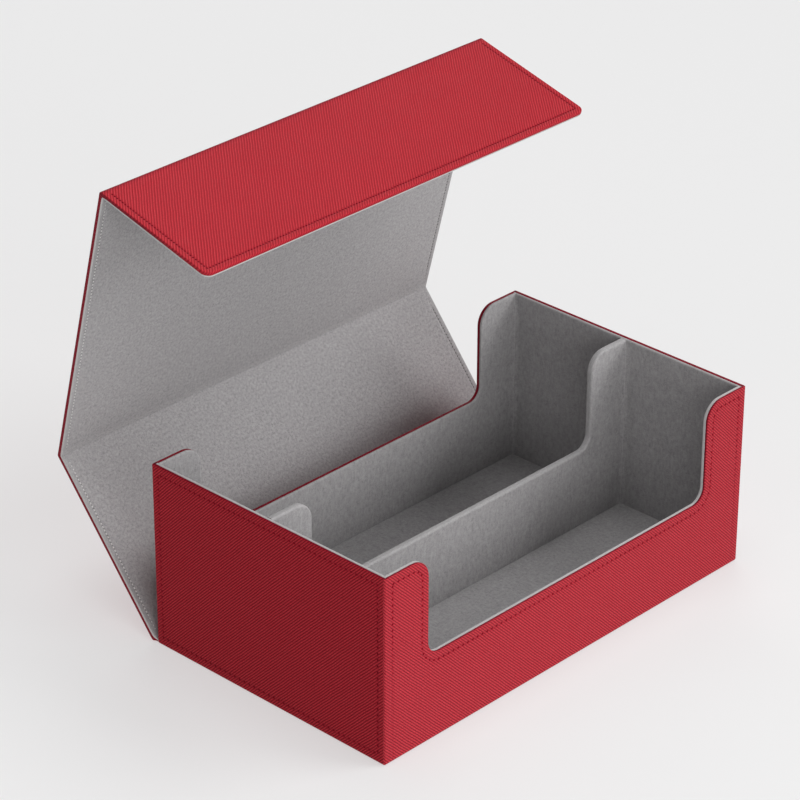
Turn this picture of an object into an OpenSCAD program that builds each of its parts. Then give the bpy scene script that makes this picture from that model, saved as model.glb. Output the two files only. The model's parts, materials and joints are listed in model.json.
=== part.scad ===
// Two-row card deck box with a fold-over cover.
// A board tray, wrapped in ribbed leather outside and suede lining inside,
// carries a three-panel cover hinged along the lower rear edge.
// Origin: centre of the tray's underside. X runs along the long front wall,
// the front wall faces -Y, the cover is hinged at +Y, Z is up.

/* [Tray] */
// Outside length of the tray
tray_l = 260; // [230:1:300]
// Outside depth of the tray, front to back
tray_w = 155; // [140:1:180]
// Outside height of the tray
tray_h = 101; // [90:1:120]
// Half length of the low finger cut in the long walls
notch_half = 100.5; // [70:0.5:104]
// Height of the low edge of the front wall's finger cut
notch_z = 47; // [40:0.1:60]
// Height of the low edge of the same cut in the divider and the back wall
inner_notch_z = 48.3; // [40:0.1:60]
// Radius of the rounded shoulders at the top of the cut
shoulder_r = 10.5; // [6:0.5:11]
// Radius of the inside corners at the foot of the cut
foot_r = 7.5; // [5:0.5:12]
// Radius of the outer vertical corners
corner_r = 1.0; // [0.9:0.1:2.5]

/* [Layers] */
// Thickness of the outer leather
leather_t = 0.6; // [0.5:0.05:0.7]
// Thickness of the tray wall board
wall_board_t = 2.0; // [1.8:0.1:2.4]
// Thickness of the tray floor board
floor_board_t = 3.8; // [1.8:0.1:4.5]
// Thickness of the divider board
divider_board_t = 2.6; // [2:0.1:3]
// Thickness of the suede lining
lining_t = 0.6; // [0.5:0.05:0.7]
// Thickness of the cover board
cover_board_t = 1.6; // [1.4:0.1:1.8]

/* [Cover] */
// Length of the cover along X, a little more than the tray
cover_l = 262; // [250:1:302]
// Distance between the lower hinge and the rear-to-top fold
rear_len = 101.8; // [91:0.1:122]
// Distance between the rear-to-top fold and the top-to-flap fold
top_len = 159.0; // [144:0.1:184]
// Distance between the top-to-flap fold and the flap's free edge
flap_len = 73; // [60:0.5:85]
// Radius of the flap's free corners
flap_corner_r = 5; // [2:0.5:10]
// Lean of the rear panel from upright, backwards
rear_lean = 39.6; // [10:0.1:80]
// Lean of the top panel from upright, forwards
top_lean = 14.35; // [5:0.05:30]
// Bend of the flap from the top panel
flap_bend = 90.4; // [60:0.1:90.4]

/* [Stitching and magnets] */
// Distance of the stitching from an edge
stitch_in = 4.2; // [3.5:0.1:5]
// Width of the thread line
thread_w = 0.5; // [0.4:0.05:0.8]
// Depth of the thread line in the leather
thread_d = 0.3; // [0.2:0.05:0.35]
// Diameter of the closing magnets
magnet_d = 8; // [6:0.5:8]
// Thickness of the closing magnets
magnet_t = 1.2; // [1:0.1:1.3]
// Distance of the magnets from the middle of the box
magnet_x = 70; // [50:1:90]

/* [Hidden] */
$fn = 64;

red = [0.72, 0.14, 0.17];
dark_red = [0.45, 0.07, 0.09];
grey = [0.58, 0.58, 0.59];
board_tan = [0.62, 0.57, 0.50];
steel = [0.75, 0.75, 0.78];

base_t = leather_t;
hx = tray_l / 2;
hy = tray_w / 2;
bx = hx - leather_t;            // outer face of the end boards
by = hy - leather_t;            // outer face of the long boards
ix = bx - wall_board_t;         // inner face of the end boards
iy = by - wall_board_t;         // inner face of the long boards
fx = ix - lining_t;             // inner face of the end linings
fy = iy - lining_t;             // inner face of the long linings
floor_z = base_t + floor_board_t;   // top of the floor board
inside_z = floor_z + lining_t;      // top of the floor lining
div_half = divider_board_t / 2 + lining_t;

cover_t = leather_t + cover_board_t + lining_t;
ch = cover_t / 2;               // half the cover's thickness, and the fold radius
cx = cover_l / 2;
air = 0.3;                      // gap between faces that move past each other
fold_web = 3;                   // length of the solid web beside each fold
gap0 = ch + air;                // start of a panel from its own fold axis

// lower hinge axis: the closed rear panel stands clear of the back wall
p0 = [hy + air + ch, ch];
p1 = p0 + rear_len * [sin(rear_lean), cos(rear_lean)];
p2 = p1 + top_len * [-sin(top_lean), cos(top_lean)];
flap_dir = -top_lean - flap_bend;

// Plan outlines of the tray
module rounded_rect(a, b, r) {
  union() {
    square([2 * a - 2 * r, 2 * b], center = true);
    square([2 * a, 2 * b - 2 * r], center = true);
    for (sx = [-1, 1], sy = [-1, 1]) translate([sx * (a - r), sy * (b - r)]) circle(r = r);
  }
}
module outer_plan() { rounded_rect(hx, hy, corner_r); }
module board_plan() { rounded_rect(bx, by, corner_r - leather_t); }

// Face outline of a long wall in X and Z, with its finger cut.
// g draws the same outline g further in from the top and the cut.
module cut_shape(g, nz) {
  a = notch_half + g;
  zb = nz - g;
  r = foot_r + g;
  s = shoulder_r - g;
  zt = tray_h - g;
  union() {
    translate([-a, zb + r]) square([2 * a, tray_h + 5 - zb - r]);
    translate([-a + r, zb]) square([2 * a - 2 * r, r + 1]);
    for (sx = [-1, 1]) translate([sx * (a - r), zb + r]) circle(r = r);
    for (sx = [-1, 1]) mirror([sx < 0 ? 1 : 0, 0]) difference() {
      translate([a - 1, zt - s]) square([s + 1, s + 6]);
      translate([a + s, zt - s]) circle(r = s);
      translate([a + s, zt - s]) square([s, s]);
    }
  }
}
module long_face(half, z0, g, nz) {
  difference() {
    translate([-half, z0]) square([2 * half, tray_h - g - z0]);
    cut_shape(g, nz);
  }
}
// stands an X-Z outline up and runs it from y0 to y1
module upright(y0, y1) {
  translate([0, y1, 0]) rotate([90, 0, 0]) linear_extrude(y1 - y0) children();
}
// stands a Y-Z outline up and runs it from x0 to x1
module upright_x(x0, x1) {
  translate([x0, 0, 0]) rotate([90, 0, 90]) linear_extrude(x1 - x0) children();
}
// everything on the front half is drawn once and mirrored for the back
module to_back() { mirror([0, 1, 0]) children(); }
module to_right() { mirror([1, 0, 0]) children(); }

// Boards of the tray
module floor_board() {
  color(board_tan) translate([0, 0, base_t]) linear_extrude(floor_board_t) board_plan();
}
module long_board(nz) {
  intersection() {
    upright(-by, -iy) long_face(bx, floor_z, lining_t, nz);
    translate([0, 0, floor_z - 1]) linear_extrude(tray_h) board_plan();
  }
}
module front_board() {
  color(board_tan) difference() {
    long_board(notch_z);
    for (sx = [-1, 1]) translate([sx * magnet_x, -by - 1, magnet_z])
      rotate([-90, 0, 0]) cylinder(d = magnet_d, h = magnet_t + 1);
  }
}
module back_board() { color(board_tan) to_back() long_board(inner_notch_z); }
module end_board() {
  translate([-bx, -iy, floor_z]) cube([wall_board_t, 2 * iy, tray_h - lining_t - floor_z]);
}
module left_end_board() { color(board_tan) end_board(); }
module right_end_board() { color(board_tan) to_right() end_board(); }
module divider_board() {
  color(board_tan) upright(-divider_board_t / 2, divider_board_t / 2) long_face(fx, inside_z, lining_t, inner_notch_z);
}

// Leather of the tray. The base sheet runs on behind the tray as the lower hinge.
module base_leather() {
  color(red) union() {
    translate([-bx, -by, 0]) cube([2 * bx, by + p0[0], base_t]);
    translate([-bx, p0[0], p0[1]]) rotate([0, 90, 0]) cylinder(r = ch, h = 2 * bx);
  }
}
// thread line along a long wall: down both sides, over the shoulders and round the cut
module long_thread_band(nz) {
  difference() {
    long_face(hx - stitch_in - 1, base_t + 1.4, stitch_in, nz);
    long_face(hx - stitch_in - 1 - thread_w, 0, stitch_in + thread_w, nz);
  }
}
module long_leather(nz) {
  difference() {
    intersection() {
      upright(-hy, -hy + corner_r) long_face(hx, base_t, 0, nz);
      difference() {
        linear_extrude(tray_h + 1) outer_plan();
        translate([0, 0, -1]) linear_extrude(tray_h + 3) board_plan();
      }
    }
    upright(-hy - 1, -hy + thread_d) long_thread_band(nz);
  }
}
module front_leather() { color(red) long_leather(notch_z); }
module back_leather() { color(red) to_back() long_leather(inner_notch_z); }
module end_thread_band() {
  difference() {
    translate([-hy + stitch_in, base_t + stitch_in])
      square([tray_w - 2 * stitch_in, tray_h - base_t - 2 * stitch_in]);
    translate([-hy + stitch_in + thread_w, base_t + stitch_in + thread_w])
      square([tray_w - 2 * stitch_in - 2 * thread_w, tray_h - base_t - 2 * stitch_in - 2 * thread_w]);
  }
}
module end_leather() {
  difference() {
    translate([-hx, -hy + corner_r, base_t]) cube([leather_t, tray_w - 2 * corner_r, tray_h - base_t]);
    upright_x(-hx - 1, -hx + thread_d) end_thread_band();
  }
}
module left_end_leather() { color(red) end_leather(); }
module right_end_leather() { color(red) to_right() end_leather(); }

// Lining of the tray. Each wall lining turns over its board's top edge.
module floor_lining() {
  color(grey) translate([-ix, -iy, floor_z]) cube([2 * ix, 2 * iy, lining_t]);
}
module long_lining(nz) {
  union() {
    upright(-iy, -fy) long_face(ix, inside_z, 0, nz);
    intersection() {
      upright(-by, -iy) difference() {
        long_face(bx, nz - 5, 0, nz);
        long_face(bx + 1, 0, lining_t, nz);
      }
      linear_extrude(tray_h + 1) board_plan();
    }
  }
}
module front_lining() { color(grey) long_lining(notch_z); }
module back_lining() { color(grey) to_back() long_lining(inner_notch_z); }
module end_lining() {
  union() {
    translate([-ix, -fy, inside_z]) cube([lining_t, 2 * fy, tray_h - inside_z]);
    translate([-bx, -iy, tray_h - lining_t]) cube([wall_board_t, 2 * iy, lining_t]);
    translate([-ix - 0.1, -fy, tray_h - lining_t]) cube([0.2, 2 * fy, lining_t]);
  }
}
module left_end_lining() { color(grey) end_lining(); }
module right_end_lining() { color(grey) to_right() end_lining(); }
module divider_lining() {
  color(grey) difference() {
    upright(-div_half, div_half) long_face(fx, inside_z, 0, inner_notch_z);
    upright(-divider_board_t / 2, divider_board_t / 2) long_face(fx + 1, inside_z - 1, lining_t, inner_notch_z);
  }
}

// Closing magnets under the front leather
magnet_z = p0[1] + rear_len - (flap_len - magnet_d / 2 - 5.5);
module front_wall_magnets() {
  color(steel) for (sx = [-1, 1]) translate([sx * magnet_x, -by, magnet_z])
    rotate([-90, 0, 0]) cylinder(d = magnet_d, h = magnet_t);
}

// Thread lines of the tray
module front_wall_thread() { color(dark_red) upright(-hy, -hy + thread_d) long_thread_band(notch_z); }
module back_wall_thread() { color(dark_red) to_back() upright(-hy, -hy + thread_d) long_thread_band(inner_notch_z); }
module left_end_thread() { color(dark_red) upright_x(-hx, -hx + thread_d) end_thread_band(); }
module right_end_thread() { color(dark_red) to_right() upright_x(-hx, -hx + thread_d) end_thread_band(); }

// Cover panels are drawn flat: Y runs from the panel's own fold axis to its far
// edge, Z is the thickness with the leather below and the lining above.
module at_rear() { translate([0, p0[0], p0[1]]) rotate([90 - rear_lean, 0, 0]) children(); }
module at_top() { translate([0, p1[0], p1[1]]) rotate([90 + top_lean, 0, 0]) children(); }
module at_flap() { translate([0, p2[0], p2[1]]) rotate([90 - flap_dir, 0, 0]) children(); }
rear_end = rear_len - fold_web;
top_end = top_len - fold_web;

// plan of a panel, g in from its free edges; r rounds the two far corners
module panel_plan(y1, g, r, far) {
  rr = max(r - g, 0.01);
  yy = y1 - (far ? g : 0);
  if (r > 0) union() {
    translate([-cx + g, gap0]) square([cover_l - 2 * g, yy - rr - gap0]);
    translate([-cx + g + rr, gap0]) square([cover_l - 2 * g - 2 * rr, yy - gap0]);
    for (sx = [-1, 1]) translate([sx * (cx - g - rr), yy - rr]) circle(r = rr);
  } else translate([-cx + g, gap0]) square([cover_l - 2 * g, yy - gap0]);
}
module panel_board_solid(y1, r, far) {
  translate([0, 0, -ch + leather_t]) linear_extrude(cover_board_t) panel_plan(y1, lining_t, r, far);
}
module panel_thread_band(y1, r, far) {
  difference() {
    panel_plan(y1, stitch_in, r > 0 ? max(r, stitch_in + 1) : 0, far);
    panel_plan(y1 + (far ? 0 : 1), stitch_in + thread_w, r > 0 ? max(r, stitch_in + 1) : 0, far);
    translate([-cx, gap0 - 2]) square([cover_l, 5]);
    if (!far) translate([-cx, y1 - 3]) square([cover_l, 8]);
  }
}
module panel_leather_solid(y1, r, far) {
  difference() {
    translate([0, 0, -ch]) linear_extrude(leather_t) panel_plan(y1, 0, r, far);
    translate([0, 0, -ch - 1]) linear_extrude(1 + thread_d) panel_thread_band(y1, r, far);
  }
}
module panel_thread_solid(y1, r, far) {
  translate([0, 0, -ch]) linear_extrude(thread_d) panel_thread_band(y1, r, far);
}
// the lining covers the inside and turns round the board's free edges
module panel_lining_solid(y1, r, far) {
  difference() {
    translate([0, 0, -ch + leather_t]) linear_extrude(cover_board_t + lining_t) panel_plan(y1, 0, r, far);
    translate([0, 0, -ch + leather_t - 1]) linear_extrude(cover_board_t + 1)
      union() {
        panel_plan(y1, lining_t, r, far);
        translate([-cx + lining_t, gap0 - 1]) square([cover_l - 2 * lining_t, 2]);
        if (!far) translate([-cx + lining_t, y1 - 1]) square([cover_l - 2 * lining_t, 2]);
      }
  }
}
// soft fold: a round roll on the axis and the web that ties it to its panel
module fold_solid(y1) {
  union() {
    translate([-cx, y1, 0]) rotate([0, 90, 0]) cylinder(r = ch, h = cover_l);
    translate([-cx, y1 - fold_web, -ch]) cube([cover_l, fold_web, cover_t]);
  }
}

module rear_panel_board() { color(board_tan) at_rear() panel_board_solid(rear_end, 0, false); }
module rear_panel_leather() { color(red) at_rear() panel_leather_solid(rear_end, 0, false); }
module rear_panel_lining() { color(grey) at_rear() panel_lining_solid(rear_end, 0, false); }
module rear_panel_thread() { color(dark_red) at_rear() panel_thread_solid(rear_end, 0, false); }
module rear_top_fold() { color(red) at_rear() fold_solid(rear_len); }

module top_panel_board() { color(board_tan) at_top() panel_board_solid(top_end, 0, false); }
module top_panel_leather() { color(red) at_top() panel_leather_solid(top_end, 0, false); }
module top_panel_lining() { color(grey) at_top() panel_lining_solid(top_end, 0, false); }
module top_panel_thread() { color(dark_red) at_top() panel_thread_solid(top_end, 0, false); }
module top_flap_fold() { color(red) at_top() fold_solid(top_len); }

// magnets sit in pockets on the inner side of the flap board
flap_magnet_y = flap_len - magnet_d / 2 - 5.5;
module flap_magnet_set(h) {
  for (sx = [-1, 1]) translate([sx * magnet_x, flap_magnet_y, ch - lining_t - magnet_t])
    cylinder(d = magnet_d, h = h);
}
module flap_board() {
  color(board_tan) at_flap() difference() {
    panel_board_solid(flap_len, flap_corner_r, true);
    flap_magnet_set(magnet_t + 1);
  }
}
module flap_leather() { color(red) at_flap() panel_leather_solid(flap_len, flap_corner_r, true); }
module flap_lining() { color(grey) at_flap() panel_lining_solid(flap_len, flap_corner_r, true); }
module flap_magnets() { color(steel) at_flap() flap_magnet_set(magnet_t); }
module flap_thread() { color(dark_red) at_flap() panel_thread_solid(flap_len, flap_corner_r, true); }

floor_board();
front_board();
back_board();
left_end_board();
right_end_board();
divider_board();
base_leather();
front_leather();
back_leather();
left_end_leather();
right_end_leather();
floor_lining();
front_lining();
back_lining();
left_end_lining();
right_end_lining();
divider_lining();
front_wall_magnets();
front_wall_thread();
back_wall_thread();
left_end_thread();
right_end_thread();
rear_panel_board();
rear_panel_leather();
rear_panel_lining();
rear_panel_thread();
rear_top_fold();
top_panel_board();
top_panel_leather();
top_panel_lining();
top_panel_thread();
top_flap_fold();
flap_board();
flap_leather();
flap_lining();
flap_magnets();
flap_thread();
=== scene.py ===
import json
import math
import random

import bmesh
import bpy
import numpy as np
from mathutils import Matrix, Vector


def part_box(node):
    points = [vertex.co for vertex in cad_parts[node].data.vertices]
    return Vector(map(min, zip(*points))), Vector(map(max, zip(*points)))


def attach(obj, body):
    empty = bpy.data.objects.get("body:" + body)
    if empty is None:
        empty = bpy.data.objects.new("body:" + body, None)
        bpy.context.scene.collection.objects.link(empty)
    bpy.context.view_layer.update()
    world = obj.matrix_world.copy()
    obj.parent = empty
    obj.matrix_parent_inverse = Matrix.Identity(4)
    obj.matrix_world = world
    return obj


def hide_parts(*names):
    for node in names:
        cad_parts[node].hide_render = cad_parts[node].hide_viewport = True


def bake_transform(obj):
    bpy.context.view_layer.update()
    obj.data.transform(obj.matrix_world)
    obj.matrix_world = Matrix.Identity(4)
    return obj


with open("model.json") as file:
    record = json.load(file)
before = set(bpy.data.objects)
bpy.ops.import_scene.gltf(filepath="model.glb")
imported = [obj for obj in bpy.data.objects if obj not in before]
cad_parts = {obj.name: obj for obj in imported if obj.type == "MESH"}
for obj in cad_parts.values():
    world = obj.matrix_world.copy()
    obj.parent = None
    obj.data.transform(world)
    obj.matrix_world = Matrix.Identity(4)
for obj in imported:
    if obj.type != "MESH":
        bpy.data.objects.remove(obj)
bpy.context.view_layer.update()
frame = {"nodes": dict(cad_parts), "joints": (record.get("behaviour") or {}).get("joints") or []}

MM = 0.001
scene = bpy.context.scene

# ---------------------------------------------------------------- camera
cam_data = bpy.data.cameras.new("camera")
cam_data.sensor_width = 36.0
cam_data.lens = 155.415
cam_data.clip_start = 0.05
cam_data.clip_end = 60.0
cam = bpy.data.objects.new("camera", cam_data)
scene.collection.objects.link(cam)


def camera_axes(az, el, roll):
    a, e, r = (math.radians(v) for v in (az, el, roll))
    back = Vector((math.sin(a) * math.cos(e), -math.cos(a) * math.cos(e), math.sin(e)))
    right = Vector((0, 0, 1)).cross(back).normalized()
    up = back.cross(right)
    c, s = math.cos(r), math.sin(r)
    return c * right + s * up, -s * right + c * up, back


cr, cu, cb = camera_axes(-46.3787, 28.2151, 0.1660)
cam.matrix_world = Matrix((
    (cr.x, cu.x, cb.x, -1.09097),
    (cr.y, cu.y, cb.y, -1.00255),
    (cr.z, cu.z, cb.z, 0.90895),
    (0, 0, 0, 1)))
scene.camera = cam

# ---------------------------------------------------------------- sizes, mm
lo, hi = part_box("front_leather")
HX = hi.x / MM                      # half length of the tray
HY = -lo.y / MM                     # half depth of the tray
TH = hi.z / MM                      # height of the tray
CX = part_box("top_panel_leather")[1].x / MM
NOTCH, SHOULDER, FOOT = 100.5, 10.5, 7.5
CUT_FRONT, CUT_INNER = 47.0, 48.3   # low edge of the finger cut: front wall; divider and rear wall
CR = 1.0                            # vertical corner radius
WALL = 3.2                          # leather, board and lining together
FLOOR_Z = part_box("floor_lining")[1].z / MM
LT = 0.6                            # leather and lining thickness
DIV = 3.8
COVER_T = 2.8
H2 = COVER_T / 2
PITCH = 3.35                        # stitch pitch
ROW = 4.45                          # stitch row on the tray, in from the edge
PITCH_COVER = 1.87                  # the cover is stitched finer and nearer its edges
ROW_COVER = 2.95
ROW_FLAP = 3.6

joint = {j["name"]: j for j in frame["joints"]}
P0, P1, P2 = (np.array(joint[n]["pos_m"][1:]) / MM for n in ("rear_hinge", "top_fold", "flap_fold"))
LA, LB = np.linalg.norm(P1 - P0), np.linalg.norm(P2 - P1)
D0 = np.array([1.0, 0.0])
DA, DB = (P1 - P0) / LA, (P2 - P1) / LB
flap_v = np.array([(v.co.y, v.co.z) for v in frame["nodes"]["flap_board"].data.vertices]) / MM
rel = flap_v - flap_v.mean(0)
DC = np.linalg.svd(rel, full_matrices=False)[2][0]
if DC @ (flap_v.mean(0) - P2) < 0:
    DC = -DC
flap_l = np.array([(v.co.y, v.co.z) for v in frame["nodes"]["flap_leather"].data.vertices]) / MM
LC = ((flap_l - P2) @ DC).max()


def inward(d):
    return np.array([-d[1], d[0]])


# ---------------------------------------------------------------- materials
def new_material(name):
    m = bpy.data.materials.new(name)
    m.use_nodes = True
    nt = m.node_tree
    nt.nodes.clear()
    out = nt.nodes.new("ShaderNodeOutputMaterial")
    bsdf = nt.nodes.new("ShaderNodeBsdfPrincipled")
    nt.links.new(bsdf.outputs[0], out.inputs["Surface"])
    return m, nt, bsdf


class Nodes:
    """Short ways to add shader nodes to one tree."""

    def __init__(self, nt):
        self.nt = nt

    def link(self, a, b):
        self.nt.links.new(a, b)

    def put(self, sock, v):
        if isinstance(v, (int, float)):
            sock.default_value = v
        elif isinstance(v, (tuple, list)):
            sock.default_value = v
        else:
            self.link(v, sock)

    def attribute(self, name):
        n = self.nt.nodes.new("ShaderNodeAttribute")
        n.attribute_type = "GEOMETRY"
        n.attribute_name = name
        return n

    def math(self, op, a, b=0.0, c=None, clamp=False):
        n = self.nt.nodes.new("ShaderNodeMath")
        n.operation = op
        n.use_clamp = clamp
        self.put(n.inputs[0], a)
        self.put(n.inputs[1], b)
        if c is not None:
            self.put(n.inputs[2], c)
        return n.outputs[0]

    def noise(self, vec, scale, detail=2.0, rough=0.5, distortion=0.0):
        n = self.nt.nodes.new("ShaderNodeTexNoise")
        n.noise_dimensions = "3D"
        self.put(n.inputs["Vector"], vec)
        n.inputs["Scale"].default_value = scale
        n.inputs["Detail"].default_value = detail
        n.inputs["Roughness"].default_value = rough
        n.inputs["Distortion"].default_value = distortion
        return n.outputs["Fac"]

    def scaled(self, vec, s):
        n = self.nt.nodes.new("ShaderNodeVectorMath")
        n.operation = "MULTIPLY"
        self.put(n.inputs[0], vec)
        n.inputs[1].default_value = s
        return n.outputs[0]

    def remap(self, v, a, b, c=0.0, d=1.0, smooth=False):
        n = self.nt.nodes.new("ShaderNodeMapRange")
        n.clamp = True
        if smooth:
            n.interpolation_type = "SMOOTHSTEP"
        self.put(n.inputs[0], v)
        for i, x in enumerate((a, b, c, d)):
            self.put(n.inputs[i + 1], x)
        return n.outputs[0]

    def mix(self, f, a, b, blend="MIX"):
        n = self.nt.nodes.new("ShaderNodeMix")
        n.data_type = "RGBA"
        n.blend_type = blend
        n.clamp_factor = True
        self.put(n.inputs[0], f)
        self.put(n.inputs[6], (*a, 1) if isinstance(a, tuple) and len(a) == 3 else a)
        self.put(n.inputs[7], (*b, 1) if isinstance(b, tuple) and len(b) == 3 else b)
        return n.outputs[2]

    def bump(self, height, distance, strength=1.0, normal=None):
        n = self.nt.nodes.new("ShaderNodeBump")
        n.inputs["Distance"].default_value = distance
        n.inputs["Strength"].default_value = strength
        self.put(n.inputs["Height"], height)
        if normal is not None:
            self.link(normal, n.inputs["Normal"])
        return n.outputs[0]

    def split(self, vec):
        n = self.nt.nodes.new("ShaderNodeSeparateXYZ")
        self.link(vec, n.inputs[0])
        return n.outputs


def leather_material(name, fu, fv, ridge, painted_groove_shade, cross, spec):
    """Ribbed PU leather. The ribs run where fu * u + fv * v is constant; u and v are mm on the sheet."""
    m, nt, b = new_material(name)
    g = Nodes(nt)
    flat = g.attribute("flat").outputs["Vector"]
    edge = g.attribute("edge").outputs["Fac"]
    u, v, w = g.split(flat)
    wob = g.noise(flat, 0.11, 2.0)
    fine = g.noise(flat, 1.7, 3.0, 0.6)
    phase = g.math("ADD", g.math("MULTIPLY", u, fu), g.math("MULTIPLY", v, fv))
    phase = g.math("ADD", phase, g.math("MULTIPLY", wob, 0.5))
    phase = g.math("ADD", phase, g.math("MULTIPLY", fine, 0.10))
    wave = g.math("COSINE", g.math("MULTIPLY", phase, 2 * math.pi))
    rib = g.math("POWER", g.math("MULTIPLY_ADD", wave, 0.5, 0.5), 0.75)
    # the cross rows of the twill show as a faint second rhythm
    row = g.math("COSINE", g.math("MULTIPLY_ADD", v, 2 * math.pi * 0.605, g.math("MULTIPLY", fine, 1.2)))
    rib = g.math("MULTIPLY", rib, g.math("MULTIPLY_ADD", row, cross, 1 - cross))
    # each rib is broken up a little along its length, as embossed threads are
    along = g.noise(flat, 0.62, 3.0, 0.65)
    bead = g.noise(flat, 1.45, 2.0, 0.6)
    cloud = g.noise(flat, 0.035, 3.0, 0.55)
    grain = g.noise(flat, 4.2, 2.0, 0.6)
    # painted shade: the grooves between the ribs are painted much darker than the ridges, standing in for the shade in
    # the embossing; the bump gives the relief
    col = g.mix(g.math("MULTIPLY", rib, g.remap(bead, 0.32, 0.62, 0.58, 1.0)), painted_groove_shade, ridge)
    col = g.mix(g.remap(along, 0.32, 0.70, 0.0, 0.18), col, (0.56, 0.050, 0.066))
    col = g.mix(g.remap(cloud, 0.30, 0.72, 0.0, 0.14), col, (0.30, 0.012, 0.020))
    # painted shade: the turned edges, the fold rolls and the stitch channels are painted darker, as they lie in shade
    col = g.mix(g.math("MULTIPLY", edge, g.remap(along, 0.25, 0.65, 0.95, 0.75)), col, (0.185, 0.006, 0.018))
    g.link(col, b.inputs["Base Color"])
    g.link(g.remap(rib, 0.0, 1.0, 0.62, 0.46), b.inputs["Roughness"])
    b.inputs["Specular IOR Level"].default_value = spec
    h = g.math("ADD", g.math("MULTIPLY", rib, 0.82), g.math("MULTIPLY", grain, 0.14))
    n1 = g.bump(cloud, 0.0010, 0.5)
    n2 = g.bump(h, 0.00020, 1.0, n1)
    g.link(n2, b.inputs["Normal"])
    return m


def lining_material(name, base, pale, mottled, nap_scale, streaky):
    """Brushed microfibre: matt, blotchy nap, paler where it turns over an edge."""
    m, nt, b = new_material(name)
    g = Nodes(nt)
    flat = g.attribute("flat").outputs["Vector"]
    edge = g.attribute("edge").outputs["Fac"]
    shade = g.attribute("shade").outputs["Fac"]
    nap = g.noise(flat, nap_scale, 3.0, 0.65, 0.4)
    streak = g.noise(g.scaled(flat, (1.0, 0.30, 1.0)), nap_scale * 1.1, 2.0, 0.6, 0.5)
    cloud = g.noise(flat, 0.045, 3.0, 0.6)
    fuzz = g.noise(flat, 1.9, 2.0, 0.7)
    t = g.math("ADD", g.math("MULTIPLY", nap, 1 - streaky), g.math("MULTIPLY", streak, streaky))
    dark = tuple(c * (1 - 0.34 * mottled) for c in base)
    light = tuple(c * (1 + 0.34 * mottled) for c in base)
    col = g.mix(g.remap(t, 0.34, 0.66, 0.0, 1.0), dark, light)
    col = g.mix(g.remap(cloud, 0.3, 0.7, 0.0, 0.22), col, tuple(c * 0.84 for c in base))
    col = g.mix(g.remap(fuzz, 0.32, 0.68, 0.0, 0.55), col, tuple(c * 1.45 for c in base))
    # painted shade: the sheet is painted darker where it is creased, where shade falls
    col = g.mix(shade, col, tuple(c * 0.25 for c in base))
    col = g.mix(edge, col, pale)
    g.link(col, b.inputs["Base Color"])
    b.inputs["Roughness"].default_value = 0.93
    b.inputs["Specular IOR Level"].default_value = 0.15
    b.inputs["Sheen Weight"].default_value = 0.25
    b.inputs["Sheen Roughness"].default_value = 0.55
    n1 = g.bump(cloud, 0.0012, 0.5)
    h = g.math("ADD", g.math("MULTIPLY", t, 0.6), g.math("MULTIPLY", fuzz, 0.4))
    n2 = g.bump(h, 0.00035, 0.8, n1)
    g.link(n2, b.inputs["Normal"])
    return m


def thread_material(name, col_a, col_b):
    """Twisted thread: fine slanted plies along each stitch."""
    m, nt, b = new_material(name)
    g = Nodes(nt)
    flat = g.attribute("flat").outputs["Vector"]
    u, v, w = g.split(flat)
    ply = g.math("SINE", g.math("MULTIPLY_ADD", u, 9.0, g.math("MULTIPLY", v, 1.0)))
    fuzz = g.noise(flat, 3.0, 2.0)
    f = g.math("ADD", g.math("MULTIPLY_ADD", ply, 0.3, 0.35), g.math("MULTIPLY", fuzz, 0.3), clamp=True)
    g.link(g.mix(f, col_a, col_b), b.inputs["Base Color"])
    b.inputs["Roughness"].default_value = 0.7
    b.inputs["Specular IOR Level"].default_value = 0.10
    g.link(g.bump(ply, 0.00006, 0.6), b.inputs["Normal"])
    return m


def hole_material(name, col):
    # painted shade: the needle holes are given a dark colour that stands in for the shade inside them
    m, nt, b = new_material(name)
    g = Nodes(nt)
    flat = g.attribute("flat").outputs["Vector"]
    f = g.noise(flat, 2.0, 2.0)
    g.link(g.mix(f, col, tuple(c * 0.6 for c in col)), b.inputs["Base Color"])
    b.inputs["Roughness"].default_value = 0.95
    b.inputs["Specular IOR Level"].default_value = 0.05
    return m


def board_material():
    m, nt, b = new_material("greyboard")
    g = Nodes(nt)
    tc = nt.nodes.new("ShaderNodeTexCoord").outputs["Object"]
    f1 = g.noise(tc, 900.0, 4.0, 0.7)
    f2 = g.noise(g.scaled(tc, (1.0, 1.0, 6.0)), 160.0, 3.0, 0.6)
    col = g.mix(f1, (0.30, 0.26, 0.21), (0.42, 0.37, 0.31))
    col = g.mix(g.remap(f2, 0.4, 0.7, 0.0, 0.35), col, (0.25, 0.22, 0.19))
    g.link(col, b.inputs["Base Color"])
    b.inputs["Roughness"].default_value = 0.9
    g.link(g.bump(f1, 0.0002, 0.5), b.inputs["Normal"])
    return m


def magnet_material():
    m, nt, b = new_material("magnet_nickel")
    g = Nodes(nt)
    tc = nt.nodes.new("ShaderNodeTexCoord").outputs["Object"]
    f = g.noise(tc, 1500.0, 3.0, 0.6)
    g.link(g.mix(f, (0.55, 0.54, 0.52), (0.70, 0.69, 0.67)), b.inputs["Base Color"])
    b.inputs["Metallic"].default_value = 1.0
    g.link(g.remap(f, 0.3, 0.7, 0.22, 0.40), b.inputs["Roughness"])
    return m


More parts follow.
